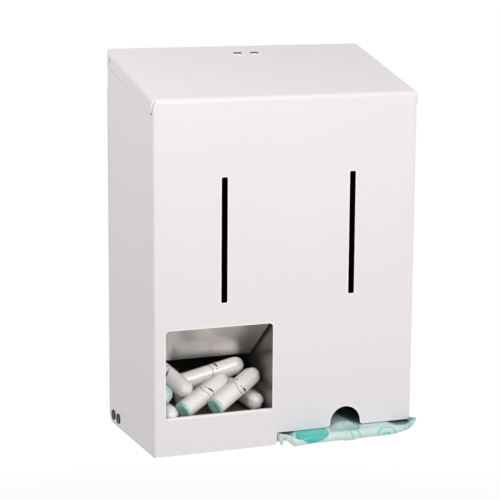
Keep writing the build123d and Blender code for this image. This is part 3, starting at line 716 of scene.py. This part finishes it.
# %% Closed skins from loops
def closed_skin(name, loops, start, end, round_lengths, along_lengths, body, material):
    """A closed mesh through loops[row, column], with a point before the first loop and one after the last.

    A quad joins (row, column), (row, column + 1), (row + 1, column + 1) and (row + 1, column), and the last
    column joins the first. Fans join the first and last loops to start and end. The UV map holds the metres
    round and along. If the sum of a . (b x c) over the triangles, taken from the middle, is negative, every
    face is turned over, so that faces point outwards.
    """
    rows, columns = loops.shape[:2]
    points = np.concatenate([loops.reshape(-1, 3), [start, end]])
    grid = np.meshgrid(np.arange(rows - 1), np.arange(columns), indexing="ij")
    row, column = (numbers.ravel() for numbers in grid)
    after = (column + 1) % columns
    near, far = row * columns, (row + 1) * columns
    quads = np.stack([near + column, near + after, far + after, far + column], 1)
    ring = np.arange(columns)
    follow = (ring + 1) % columns
    top = (rows - 1) * columns
    start_fan = np.stack([np.full(columns, rows * columns), follow, ring], 1)
    end_fan = np.stack([np.full(columns, rows * columns + 1), top + ring, top + follow], 1)

    u = np.append(round_lengths, 2 * round_lengths[-1] - round_lengths[-2])
    v = along_lengths
    quad_u = u[np.stack([column, column + 1, column + 1, column], 1)]
    quad_v = v[np.stack([row, row, row + 1, row + 1], 1)]
    quad_uv = np.stack([quad_u, quad_v], 2)
    half = (u[ring] + u[ring + 1]) / 2
    start_uv = np.stack([np.stack([half, u[ring + 1], u[ring]], 1), np.full((columns, 3), v[0])], 2)
    end_uv = np.stack([np.stack([half, u[ring], u[ring + 1]], 1), np.full((columns, 3), v[-1])], 2)

    a, b, c, d = (points[quads[:, k]] - points.mean(0) for k in range(4))
    volume = (a * np.cross(b, c)).sum() + (a * np.cross(c, d)).sum()
    faces, charts = [start_fan, quads, end_fan], [start_uv, quad_uv, end_uv]
    if volume < 0:
        faces, charts = [f[:, ::-1] for f in faces], [uv[:, ::-1] for uv in charts]
    mesh = bpy.data.meshes.new(name)
    mesh.from_pydata(points.tolist(), [], [f for group in faces for f in group.tolist()])
    mesh.polygons.foreach_set("use_smooth", np.ones(len(mesh.polygons), bool))
    mesh.uv_layers.new(name="wrap").data.foreach_set("uv", np.concatenate([uv.ravel() for uv in charts]))
    mesh.materials.append(material)
    mesh.update()
    piece = bpy.data.objects.new(name, mesh)
    scene.collection.objects.link(piece)
    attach(piece, body)
    return piece


print("closed skins can be made")

# %% [markdown]
# ## Wrapped tampons
#
# Each tampon is a round roll of cotton in tight clear film. Its front end is a dome over which the film is
# drawn into small flat pleats, and its blunt end is tinted teal, with a hollow for the cord. Glossy film
# breaks a lamp's reflection into sharp lengthwise streaks, because it lies in narrow flats rather than in a
# true round. The flats are made in the mesh, so that the streaks move rightly when the hood tips.
#
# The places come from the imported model. A cylinder's faces look away from its axis, so the axis is the
# direction that the face normals, weighted by area, share least.

# %% Where a tampon lies
def lie_of(name):
    """The middle of the blunt end, the direction to the dome, the length and the radius, in metres."""
    mesh = nodes[name].data
    points = np.zeros((len(mesh.vertices), 3))
    normals = np.zeros((len(mesh.polygons), 3))
    areas = np.zeros(len(mesh.polygons))
    mesh.vertices.foreach_get("co", points.ravel())
    mesh.polygons.foreach_get("normal", normals.ravel())
    mesh.polygons.foreach_get("area", areas)
    axis, first, second = np.linalg.eigh((normals * areas[:, None]).T @ normals)[1].T
    centre = sum(d * ((points @ d).min() + (points @ d).max()) / 2 for d in (first, second))
    along = points @ axis
    radius = np.linalg.norm(points - centre - along[:, None] * axis, axis=1)
    low, high = along.min(), along.max()
    if radius[along > high - 2 * MM].max() > radius[along < low + 2 * MM].max():
        axis, low, high = -axis, -high, -low
    return centre + low * axis, axis, high - low, radius.max()


TAMPONS = [f"tampon_{number:02d}" for number in range(1, 11)]
for name in TAMPONS[:2]:
    blunt, axis, length, radius = lie_of(name)
    print(name, np.round(blunt / MM, 1), np.round(axis, 3), round(length / MM, 2), round(radius / MM, 2))

# %% [markdown]
# ## The tampon's film
#
# The film is clear over white cotton, so it is drawn as a white base under a clear coat. The UV map measures
# metres along the film from the blunt end's rim, so the teal tint fades over the first few millimetres, and
# a small dark printed border of a wave, leaves and dots runs round the middle. Noise breaks the print up, as
# printing on stretched film is broken up. The tint differs from one tampon to the next: most have it all
# over the blunt end, one has a ring round a white core, and two have hardly any.

# %% Tampon film
RADIUS = 7.3 * MM
ROUND = 2 * np.pi * RADIUS
CELL = ROUND / 3
BLUNT_RIM = 1.3 * MM
TINT_REACH = 1.1 * MM
TINT_FADE = 1.8 * MM
WAVE_PLACE, WAVE_HEIGHT, WAVE_HALF = 23 * MM, 1.1 * MM, 0.32 * MM
LEAF_PLACE, LEAF_HALF_LENGTH, LEAF_HALF_WIDTH = 27.4 * MM, 3.4 * MM, 0.95 * MM
DOT_PLACE, DOT_OFFSET, DOT_RADIUS = 26.6 * MM, 4.6 * MM, 0.6 * MM
CRISP = 0.2 * MM
CORE = 4.3 * MM


def tampon_film(name, strength, core):
    """Film over cotton. The teal tint has that strength, and leaves a core of that radius white.

    The print repeats three times round. Its wave has one sine to a repeat: v = place + height times the sine
    of 2 pi u / cell. A leaf's edge is the parabola width (1 - (u / length) squared).
    """
    film = Finish(name, IOR=1.5, Coat_IOR=1.6, Coat_Roughness=0.08, Subsurface_Weight=0.25)
    film.shader.inputs["Subsurface Radius"].default_value = (0.004, 0.004, 0.004)
    point, u, v = film.chart()
    streak = film.noise(point, 1.5 * MM, 3.0, 0.6, (1, 0.12, 1))
    fibre = film.noise(point, 3 * MM, 4.0, 0.6)
    crease = film.noise(point, 0.9 * MM, 3.0, 0.65, (1, 0.3, 1))
    blotch = film.noise(point, 1.3 * MM, 4.0, 0.75)
    worn = film.noise(point, 2.2 * MM, 2.0).over(0.3, 0.1)

    tint = (v - 3.4 * MM * (streak - 0.5)).under(TINT_REACH, TINT_FADE)
    blunt_centre = -(RADIUS - BLUNT_RIM + BLUNT_RIM * np.pi / 2)
    tint = tint * v.over(blunt_centre + core, 0.8 * MM) if core else tint
    across = (u % CELL) - CELL / 2
    swing = v - WAVE_HEIGHT * (across * (2 * np.pi / CELL)).sine()
    wave = abs(swing - WAVE_PLACE).under(WAVE_HALF, CRISP)
    leaf_edge = LEAF_HALF_WIDTH - across * across * (LEAF_HALF_WIDTH / LEAF_HALF_LENGTH**2)
    leaf = abs(swing - LEAF_PLACE).under(leaf_edge, CRISP)
    dots = distance(abs(across) - DOT_OFFSET, swing - DOT_PLACE).under(DOT_RADIUS, CRISP)
    ink = (0.8 * wave).larger(leaf).larger(dots) * worn

    white_film = film.blend(fibre, (0.88, 0.85, 0.83, 1), (0.98, 0.96, 0.95, 1))
    teal = film.blend(blotch.over(0.5, 0.3), (0.16, 0.46, 0.39, 1), (0.52, 0.8, 0.74, 1))
    inked = film.blend(0.95 * ink, white_film, (0.02, 0.012, 0.06, 1))
    film.feed(
        Base_Color=film.blend(tint * strength, inked, teal),
        Roughness=0.2 + 0.2 * crease,
        Coat_Weight=0.65 + 0.2 * streak,
        Normal=film.bump(0.6 * streak + 0.4 * crease, 0.08 * MM),
    )
    return film.material


TEAL_END = tampon_film("tampon film", 0.92, 0)
RING_END = tampon_film("tampon film with a ring", 0.85, CORE)
PALE_END = tampon_film("tampon film with a pale end", 0.3, 0)
print("three films, tinted over", round((TINT_REACH + TINT_FADE / 2) / MM, 1), "mm at the blunt end")

# %% Ten wrapped tampons
COLUMNS = 96
DISC_ROWS, RIM_ROWS, WALL_ROWS, DOME_ROWS = 12, 7, 44, 20
DISC_START = 0.5 * MM
DOME_END = np.radians(86)
TURN = 6.28  # radians, the range of a random phase
FLATS = 7
FLAT_BITE = 24.0  # how sharply one flat gives way to the next
WALL_FLAT, DOME_FLAT = 0.32, 0.66
HOLLOW_DEPTH, HOLLOW_WIDTH = 1.1 * MM, 2.4 * MM
PLEAT_DEPTH, PLEAT_WIDTH = 0.3 * MM, 3 * MM
PLEAT_COUNTS, RIDGE_COUNTS = (7, 11, 17), (5, 13, 21)
WRINKLE = 0.005
PRINT_TURN = 1.23  # turns by which each print is set off from the one before


def wrapped_tampon(name, seed, material):
    """A film-wrapped roll, as rows along its outline and columns round its axis.

    The outline runs from the blunt end's hollow over its rim, along the wall and over the dome. A hollow
    is depth times e to the minus (r / width) squared, with radial pleats. The wall and dome are rounds cut
    to flats: a flat at angle t0 and distance d has radius d / cos(t - t0), and the soft least of all
    flats is the sum of their -24th powers to the power -1/24. Ridges of film run lengthwise over them.
    """
    blunt, axis, length, radius = lie_of(name)
    chance = np.random.default_rng(seed)
    angle = np.linspace(0, 2 * np.pi, COLUMNS, endpoint=False)
    flats = np.linspace(0, 2 * np.pi, FLATS, endpoint=False) + chance.uniform(-0.25, 0.25, FLATS)
    away = chance.uniform(0.87, 0.96, FLATS)
    facing = np.clip(np.cos(angle[:, None] - flats), 0.05, 1)
    flat_round = np.minimum(((away / facing) ** -FLAT_BITE).sum(1) ** (-1 / FLAT_BITE), 1)

    disc = np.linspace(DISC_START, radius - BLUNT_RIM, DISC_ROWS)
    bend = np.linspace(0, np.pi / 2, RIM_ROWS)[1:]
    wall = np.linspace(BLUNT_RIM, length - radius, WALL_ROWS)[1:]
    dome = np.linspace(0, DOME_END, DOME_ROWS)[1:]
    rim_across = radius - BLUNT_RIM + BLUNT_RIM * np.sin(bend)
    rim_along = BLUNT_RIM - BLUNT_RIM * np.cos(bend)
    dome_along = length - radius + radius * np.sin(dome)
    across = np.concatenate([disc, rim_across, np.full(len(wall), radius), radius * np.cos(dome)])
    along = np.concatenate([0 * disc, rim_along, wall, dome_along])
    film = np.concatenate([[0], np.cumsum(np.hypot(np.diff(across), np.diff(along)))])
    film -= film[len(disc) + len(bend) - 1]

    on_disc = along < BLUNT_RIM
    hollow_share = np.exp(-((across / HOLLOW_WIDTH) ** 2)) * on_disc
    pleat_share = across / radius * np.exp(-across / PLEAT_WIDTH) * on_disc
    pleat = sum(np.sin(count * angle + chance.uniform(0, TURN)) for count in PLEAT_COUNTS) / 3
    hollow = HOLLOW_DEPTH * hollow_share[:, None] + PLEAT_DEPTH * pleat_share[:, None] * pleat
    dome_share = np.clip((along - (length - radius - 4 * MM)) / (9 * MM), 0, 1)
    rim_share = np.clip(1 - (along - BLUNT_RIM) / (3 * MM), 0, 1)
    flat_share = WALL_FLAT + DOME_FLAT * dome_share - WALL_FLAT * rim_share
    slow = 1 + 0.35 * np.sin(along / (9 * MM) + chance.uniform(0, TURN))
    ridges = sum(np.cos(count * angle + chance.uniform(0, TURN)) for count in RIDGE_COUNTS) / 3
    wrinkle = WRINKLE * slow[:, None] * (1 + ridges) * (~on_disc)[:, None]
    reach = across[:, None] * (1 - flat_share[:, None] * (1 - flat_round) - wrinkle)

    first = np.cross(axis, (0, 0, 1) if abs(axis[2]) < 0.9 else (1, 0, 0))
    first /= np.linalg.norm(first)
    second = np.cross(axis, first)
    around = np.cos(angle)[:, None] * first + np.sin(angle)[:, None] * second
    loops = blunt + (along[:, None] + hollow)[..., None] * axis + reach[..., None] * around
    start = blunt + HOLLOW_DEPTH * axis
    end = blunt + length * axis
    round_lengths = angle * RADIUS + PRINT_TURN * seed * ROUND
    piece = closed_skin(
        name + "_wrap", loops, start, end, round_lengths, film, "hood", material
    )
    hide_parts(name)
    return piece


OTHER_ENDS = {"tampon_01": PALE_END, "tampon_06": RING_END, "tampon_10": PALE_END}
wraps = [
    wrapped_tampon(name, seed, OTHER_ENDS.get(name, TEAL_END)) for seed, name in enumerate(TAMPONS, start=3)
]
print(len(wraps), "wrapped tampons of", len(wraps[0].data.polygons), "faces")

# %% [markdown]
# ## The pad's film
#
# The pad's wrapper is thin mint film with line drawings of leaves and rings in a stronger green, and a teal
# patch on its front fold. All of it is drawn on the UV map, which measures metres round the fold from its
# foot and metres along the pad. A leaf is the overlap of two arcs, so its edge is a parabola on each side of
# its vein, and rings are steps in a distance.

# %% Line drawings on the film
LINE = 0.75 * MM
mint = Finish("pad film", IOR=1.47, Coat_IOR=1.48, Coat_Roughness=0.18, Subsurface_Weight=0.06)
mint.shader.inputs["Subsurface Radius"].default_value = (0.004, 0.005, 0.005)
point, u, v = mint.chart()


def leaf(u, v, half_length, half_width):
    """The outline and the vein of a leaf that lies along v."""
    edge = half_width - v * v * (half_width / half_length**2)
    rim = abs(abs(u) - edge).under(LINE, CRISP) * edge.over(-LINE, CRISP)
    return rim.larger(abs(u).under(LINE / 2, CRISP) * abs(v).under(0.7 * half_length, 0.3 * MM))


def two_rings(u, v, outer, inner):
    """Two thin circles about the point where u and v are 0."""
    reach = distance(u, v)
    return abs(reach - outer).under(LINE, CRISP).larger(abs(reach - inner).under(LINE, CRISP))


STEMS_U, STEMS_V, STEMS_APART, STEMS_HALF = 8 * MM, 52.5 * MM, 3.2 * MM, 3.8 * MM
LEAF_U, LEAF_V = 20 * MM, 54.5 * MM
RINGS_U, RINGS_V = 1.5 * MM, 79.5 * MM
REPEAT_U, REPEAT_V = 19 * MM, 27 * MM
HIDDEN_FROM = 33 * MM

stem_u = u - STEMS_U
stem_v = v - STEMS_V + 0.35 * stem_u
stems = abs(abs(stem_v) - STEMS_APART).under(LINE, CRISP) * abs(stem_u).under(STEMS_HALF, 0.3 * MM)
leaf_by_notch = leaf(u - LEAF_U, v - LEAF_V, 6.5 * MM, 8 * MM)
rings_right = two_rings(u - RINGS_U, v - RINGS_V, 8.4 * MM, 3.6 * MM)
repeat_u = ((u - 34 * MM) % REPEAT_U) - REPEAT_U / 2
repeat_v = ((v + 4 * MM) % REPEAT_V) - REPEAT_V / 2
hidden_drawings = leaf(repeat_u, repeat_v, 9 * MM, 4 * MM) * u.over(HIDDEN_FROM, 0.5 * MM)
drawings = stems.larger(leaf_by_notch).larger(rings_right).larger(hidden_drawings)
print("leaves and rings drawn")

# %% A patch with straight edges
PATCH_TOP = 24 * MM


def straight(at_foot, slope):
    """A straight line on the film: v = at_foot + slope u, with at_foot in millimetres."""
    return at_foot * MM + slope * u


patch_start = straight(15.8, -1.15).larger(straight(0.2, 0.33))
patch_end = straight(13.6, 2.43).smaller(straight(14.4, 2.05))
patch_end = patch_end.smaller(straight(22.8, 0.85)).smaller(straight(28.1, 0.26))
between = (v - patch_start).over(0, 0.4 * MM) * (patch_end - v).over(0, 0.6 * MM)
patch = between * u.under(PATCH_TOP, 0.5 * MM)
print("patch up to", PATCH_TOP / MM, "mm round the fold")

# %% Mint film
soft_fold = mint.noise(point, 7 * MM, 3.0, 0.55)
fine_fold = mint.noise(point, 1.2 * MM, 3.0, 0.6, (0.5, 1, 1))
# Painted highlight: a pale sheen left of the patch and right of it, on the front fold.
left_sheen = v.under(16 * MM, 4 * MM) * v.over(2 * MM, 3 * MM)
right_sheen = abs(v - 31 * MM).under(3.5 * MM, 3 * MM)
painted_sheen = left_sheen.larger(0.8 * right_sheen) * u.under(11 * MM, 3 * MM)
# Painted shade: darker teal under the lip of the front fold.
under_lip_shade = abs(v - 48.5 * MM).under(6 * MM, 1.5 * MM) * u.under(1.5 * MM, 0.8 * MM)

base = mint.blend(soft_fold, (0.5, 0.7, 0.67, 1), (0.7, 0.86, 0.84, 1))
pale = mint.blend(0.75 * painted_sheen, base, (0.78, 0.82, 0.85, 1))
# Painted shade in the crumpled creases of the right crimp.
crumple = v.over(93 * MM, 6 * MM) * fine_fold.over(0.48, 0.12)
crease_shaded = mint.blend(0.75 * crumple, pale, (0.2, 0.42, 0.4, 1))
drawn = mint.blend(0.9 * drawings, crease_shaded, (0.16, 0.68, 0.55, 1))
deep = mint.blend(fine_fold, (0.03, 0.47, 0.39, 1), (0.08, 0.62, 0.52, 1))
patched = mint.blend(patch, drawn, deep)
mint.feed(
    Base_Color=mint.blend(0.7 * under_lip_shade, patched, (0.12, 0.45, 0.4, 1)),
    Roughness=0.3 + 0.2 * fine_fold,
    Coat_Weight=0.3 + 0.3 * soft_fold,
    Normal=mint.bump(0.6 * soft_fold + 0.4 * fine_fold, 0.3 * MM),
)
print("mint film with a teal patch")

# %% [markdown]
# ## The wrapped pad
#
# A folded pad lies in a pillow of film, crimped flat at its left and right ends. Its front fold hangs out
# under the hood. A loop round the pad, which is two straight runs joined by two rounds, is carried from left
# to right. Inside the bin the loop keeps the imported solid's shape. In front of the hood nothing holds the
# film flat, so there its upper and lower lines follow listed knots: two limp points hang at the left end,
# the right end is pulled up into a tail, and under the notch, where thumbs pinch it, the top is pushed up.

# %% Lines of the pad's front fold
pad_low, pad_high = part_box("front_pad")
HALF_DEPTH = (pad_high.y - pad_low.y) / 2
HALF_THICK = 3.6 * MM

FOLD_TOP = [
    (-8, 10.2), (-3, 9.7), (0, 8.6), (3, 6.9), (5.2, 6.2), (7.5, 8.4), (10, 9.3), (86, 9.3), (92, 8.7),
    (97, 8.9), (101, 10.2), (104.6, 13),
]
FOLD_FOOT = [
    (-7.4, 8), (-5.8, -2.2), (-4.3, 6), (-3.6, 6.3), (-1, 3.6), (1.5, 0.6), (2.5, -0.2), (6, 0.8), (10, 1.4),
    (20, 2.1), (42, 1.9), (45, 1.2), (52, 1.2), (55, 2), (86, 2.3), (92, 3.1), (98, 5), (102, 7.5),
    (104.6, 11.4),
]
FOLD_REACH = [(-7.2, 11.5), (-2, 7.5), (3, 3.5), (8, 0), (88, 0), (96, 2), (104.6, 5.5)]
BIN_TOP = [(-7.2, 4.8), (0, 4.8), (8, 9.3), (86, 9.3), (95, 6.6), (104.6, 6.6)]
BIN_FOOT = [(-7.2, 3.6), (0, 3.6), (8, 2.1), (86, 2.1), (95, 5.4), (104.6, 5.4)]


def traced(x, knots):
    """Straight runs between knots in millimetres, softened by the mean over 0.6 mm to each side."""
    at, value = np.array(knots).T * MM
    return np.mean([np.interp(x + shift, at, value) for shift in np.linspace(-0.6, 0.6, 9) * MM], axis=0)


def smooth(share):
    """Zero, then 3 t squared less 2 t cubed, then one."""
    t = np.clip(share, 0, 1)
    return t * t * (3 - 2 * t)


print("front fold from", FOLD_TOP[0], "to", FOLD_TOP[-1], "mm")

# %% The pad's pillow
FOLD_COLUMNS, REAR_COLUMNS, RUN_COLUMNS = 30, 14, 80
END_ROWS, BODY_ROWS, TAIL_ROWS = 60, 60, 46
LEFT_END, RIGHT_END, PAD_MIDDLE = 14 * MM, 86 * MM, 50 * MM
FOLD_STARTS, FOLD_TAKES = 0.72, 0.26  # shares of the half depth
CRIMP, RIGHT_CRIMP = 9 * MM, 88 * MM
TAIL = 3.6 * MM
PLEAT, FINE_PITCH, WIDE_PITCH = 0.35 * MM, 0.42 * MM, 0.75 * MM
TOOTH, TOOTH_PITCH = 1.2 * MM, 3.2 * MM
THUMB_AT, THUMB_HALF, THUMB_LIFT = 49 * MM, 9.5 * MM, 3.4 * MM
THUMB_FRONT, THUMB_REAR = -119 * MM, -70 * MM
BIN_FLOOR = 2.1 * MM  # above the hood's foot, like the lines' heights


def pad_loop():
    """Depth and height round one loop, and the metres of film from the front fold's foot.

    The front round is depth = -run - T sin a, height = -cos a, with a from 0 to pi and T half the
    thickness. A run along the top, the rear round and a run along the underside close it.
    """
    run = HALF_DEPTH - HALF_THICK
    fold = np.linspace(0, np.pi, FOLD_COLUMNS, endpoint=False)
    rear = np.linspace(0, np.pi, REAR_COLUMNS, endpoint=False)
    go = 2 * run * np.linspace(0, 1, RUN_COLUMNS, endpoint=False) ** 1.25
    come = 2 * run * (1 - np.linspace(1, 0, RUN_COLUMNS, endpoint=False) ** 1.25)
    depth = np.concatenate(
        [-run - HALF_THICK * np.sin(fold), -run + go, run + HALF_THICK * np.sin(rear), run - come]
    )
    flat = np.ones(RUN_COLUMNS)
    height = np.concatenate([-np.cos(fold), flat, np.cos(rear), -flat])
    lengths = np.cumsum(np.hypot(np.diff(depth), HALF_THICK * np.diff(height)))
    return depth, height, np.concatenate([[0], lengths])


def pillow_pack(name):
    """A pillow of film, as loops across X from the left crimp to the right one.

    A point's height is (top + foot) / 2 + height (top - foot) / 2. Its top and foot go from the bin's
    lines to the fold's over the last stretch of the depth, by a smooth step. Crimps add pleats: a depth
    times the sine of a distance that runs aslant. The thumbs' pinch is e to the minus (x / half) to the 4th.
    """
    left = np.linspace(pad_low.x, LEFT_END, END_ROWS, endpoint=False)
    body = np.linspace(LEFT_END, RIGHT_END, BODY_ROWS, endpoint=False)
    tail = np.linspace(RIGHT_END, pad_high.x, TAIL_ROWS)
    x = np.concatenate([left, body, tail])[:, None]
    depth, height, round_lengths = pad_loop()
    y_share = depth / HALF_DEPTH
    at_front = smooth((-y_share - FOLD_STARTS) / FOLD_TAKES)
    top = traced(x, BIN_TOP) * (1 - at_front) + traced(x, FOLD_TOP) * at_front
    foot = traced(x, BIN_FOOT) * (1 - at_front) + traced(x, FOLD_FOOT) * at_front
    y = (pad_low.y + pad_high.y) / 2 + depth + traced(x, FOLD_REACH) * np.clip(-y_share, 0, 1) ** 3

    at_left, at_right = smooth((CRIMP - x) / CRIMP), smooth((x - RIGHT_CRIMP) / CRIMP)
    crimp = np.maximum(at_left, at_right)
    slant = x + 0.5 * HALF_THICK * height * np.sign(x - PAD_MIDDLE)
    pleats = crimp * (np.sin(slant / FINE_PITCH) + 0.6 * np.sin(slant / WIDE_PITCH + depth / (3 * MM)))
    soft = np.sin(depth / (7 * MM) + x / (11 * MM)) * np.sin(x / (7.7 * MM) + 1.0)
    pinch = np.exp(-(((x - THUMB_AT) / THUMB_HALF) ** 4))
    pinch = pinch * smooth((y - THUMB_FRONT) / (9 * MM)) * smooth((THUMB_REAR - y) / (14 * MM))
    z = (top + foot) / 2 + height * (top - foot) / 2
    z = z + 0.15 * MM * soft * np.abs(height) + THUMB_LIFT * pinch * np.clip(height, 0, 1)
    z = FOOT + np.where(at_front > 0, z, np.maximum(z, BIN_FLOOR))
    y = y + PLEAT * pleats * at_front

    teeth = TOOTH * np.abs((depth / TOOTH_PITCH) % 1 - 0.5)
    x_all = x + teeth * (at_left**8 - at_right**8) + TAIL * at_right * at_front
    loops = np.stack(np.broadcast_arrays(x_all, y, z), 2)
    start, end = loops[0].mean(0), loops[-1].mean(0)
    piece = closed_skin(
        name, loops, start, end, round_lengths, x[:, 0], "pad", mint.material
    )
    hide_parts("front_pad")
    return piece


pillow = pillow_pack("front_pad_wrap")
print("pad of", len(pillow.data.polygons), "faces")
